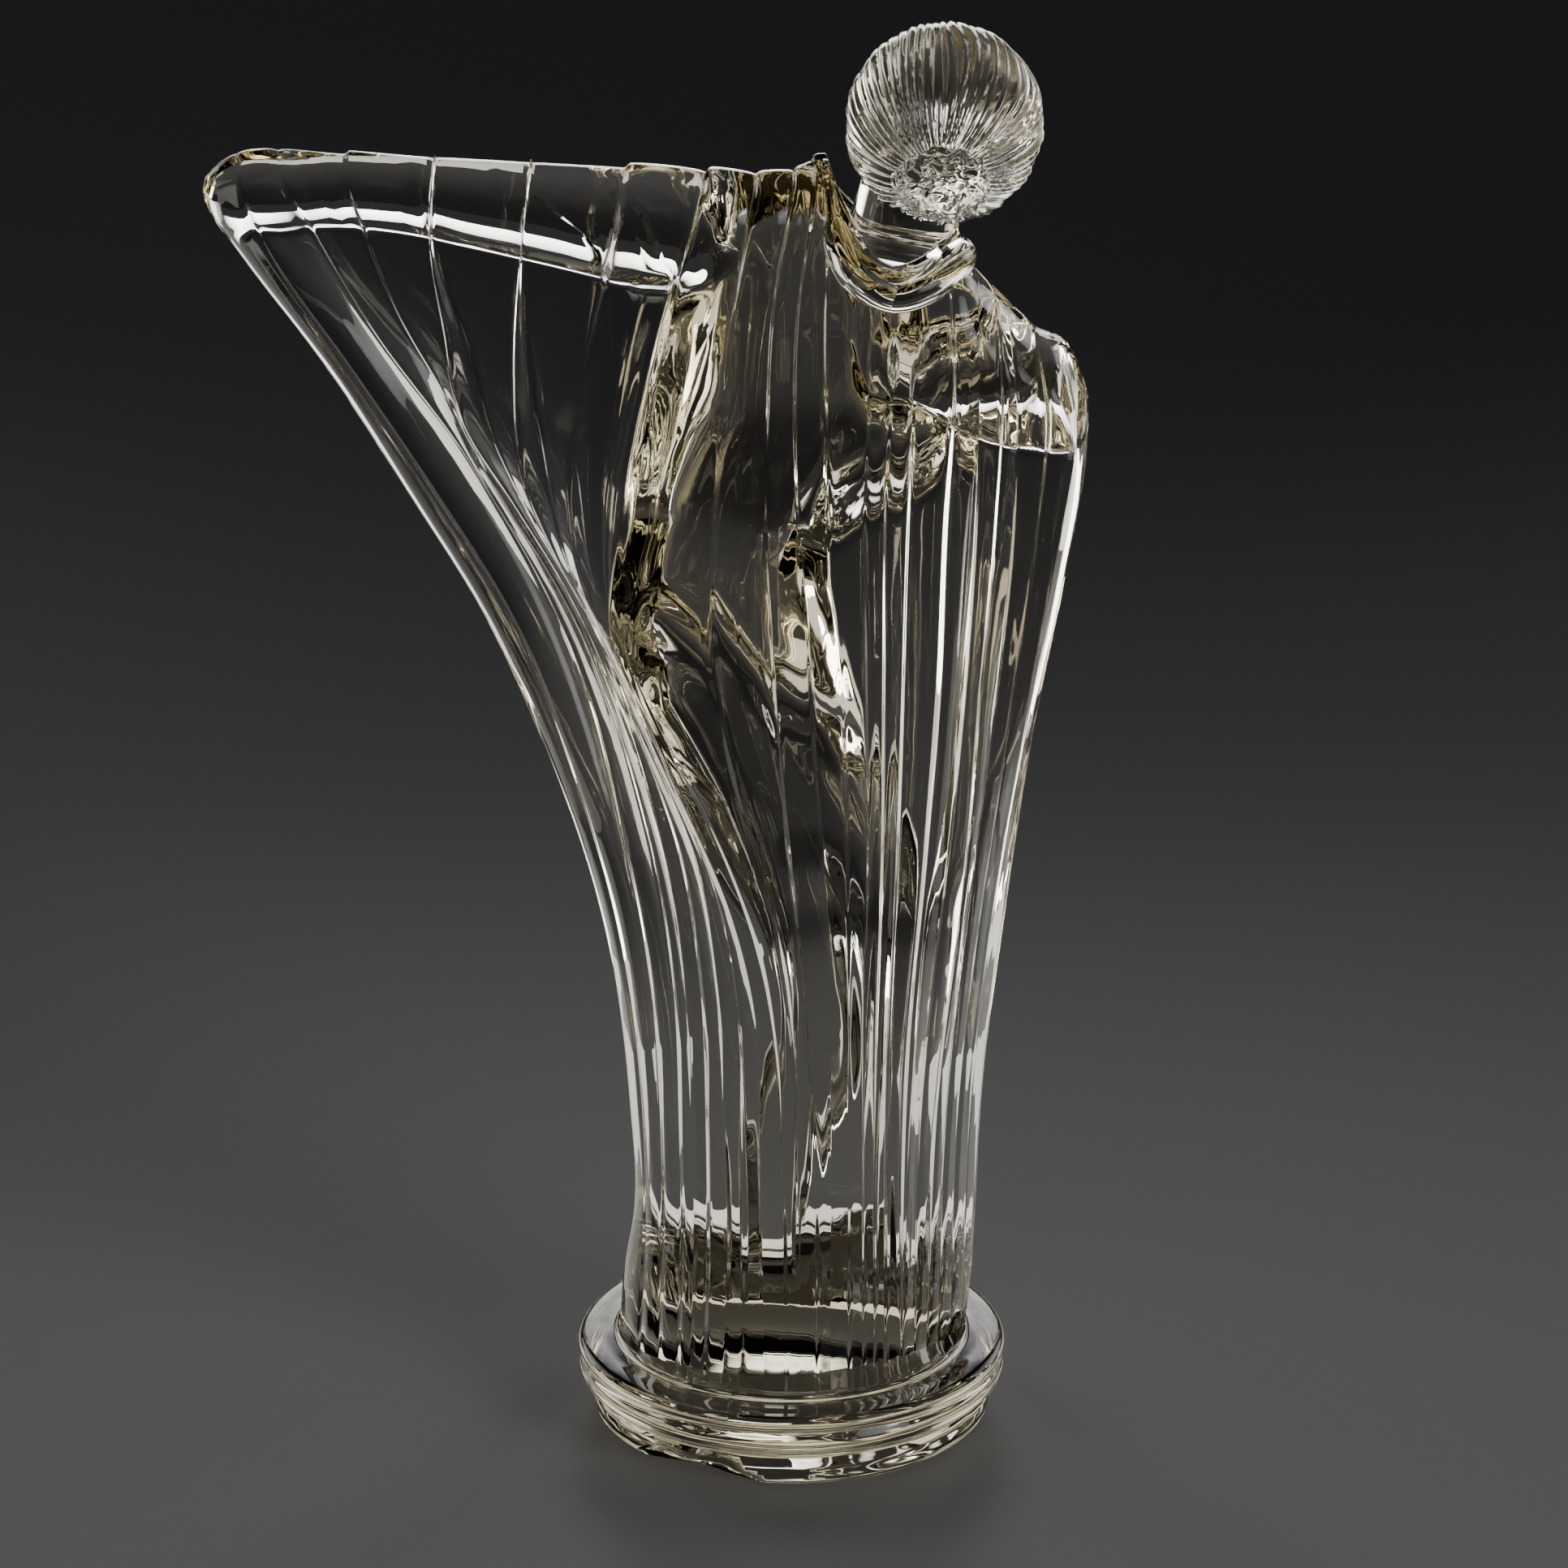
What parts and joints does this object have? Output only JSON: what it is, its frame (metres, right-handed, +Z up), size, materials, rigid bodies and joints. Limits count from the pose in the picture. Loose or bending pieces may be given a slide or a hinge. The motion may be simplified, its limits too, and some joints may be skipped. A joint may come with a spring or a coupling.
{
  "type": "glass hood ornament",
  "caption": "Pressed clear-glass hood ornament: standing figure with one arm out, holding a pleated cape, on a round flanged base.",
  "frame": {"origin": "centre of the foot's flat underside", "axes": "+Z up along the base's axis to the head; +X to the outstretched left hand; -Y is the figure's front, +Y the cape's back; Y = 0 is the mould's parting plane"},
  "size_m": [0.1327, 0.068, 0.224],
  "materials": {
    "cape_glass": "clear pressed glass, fire-polished, with soft ripples and fine scratches",
    "figure_glass": "clear pressed glass, thick, faint straw tint in depth",
    "base_glass": "clear pressed glass, thickest, straw tint, worn lower edge with one flake"
  },
  "bodies": {
    "root": {"foot": "base_glass", "flange": "base_glass", "plinth": "base_glass", "ground": "base_glass", "cape_hem_roll": "cape_glass", "cape_wing": "cape_glass", "cape_back": "cape_glass", "cape_sleeve_fall": "cape_glass", "collar": "cape_glass", "torso": "figure_glass", "hips": "figure_glass", "left_leg": "figure_glass", "right_leg": "figure_glass", "left_arm": "figure_glass", "left_hand": "figure_glass", "right_arm": "figure_glass", "right_forearm": "figure_glass", "neck": "figure_glass", "head": "figure_glass", "hair": "figure_glass", "hair_bun": "figure_glass"}
  },
  "joints": []
}
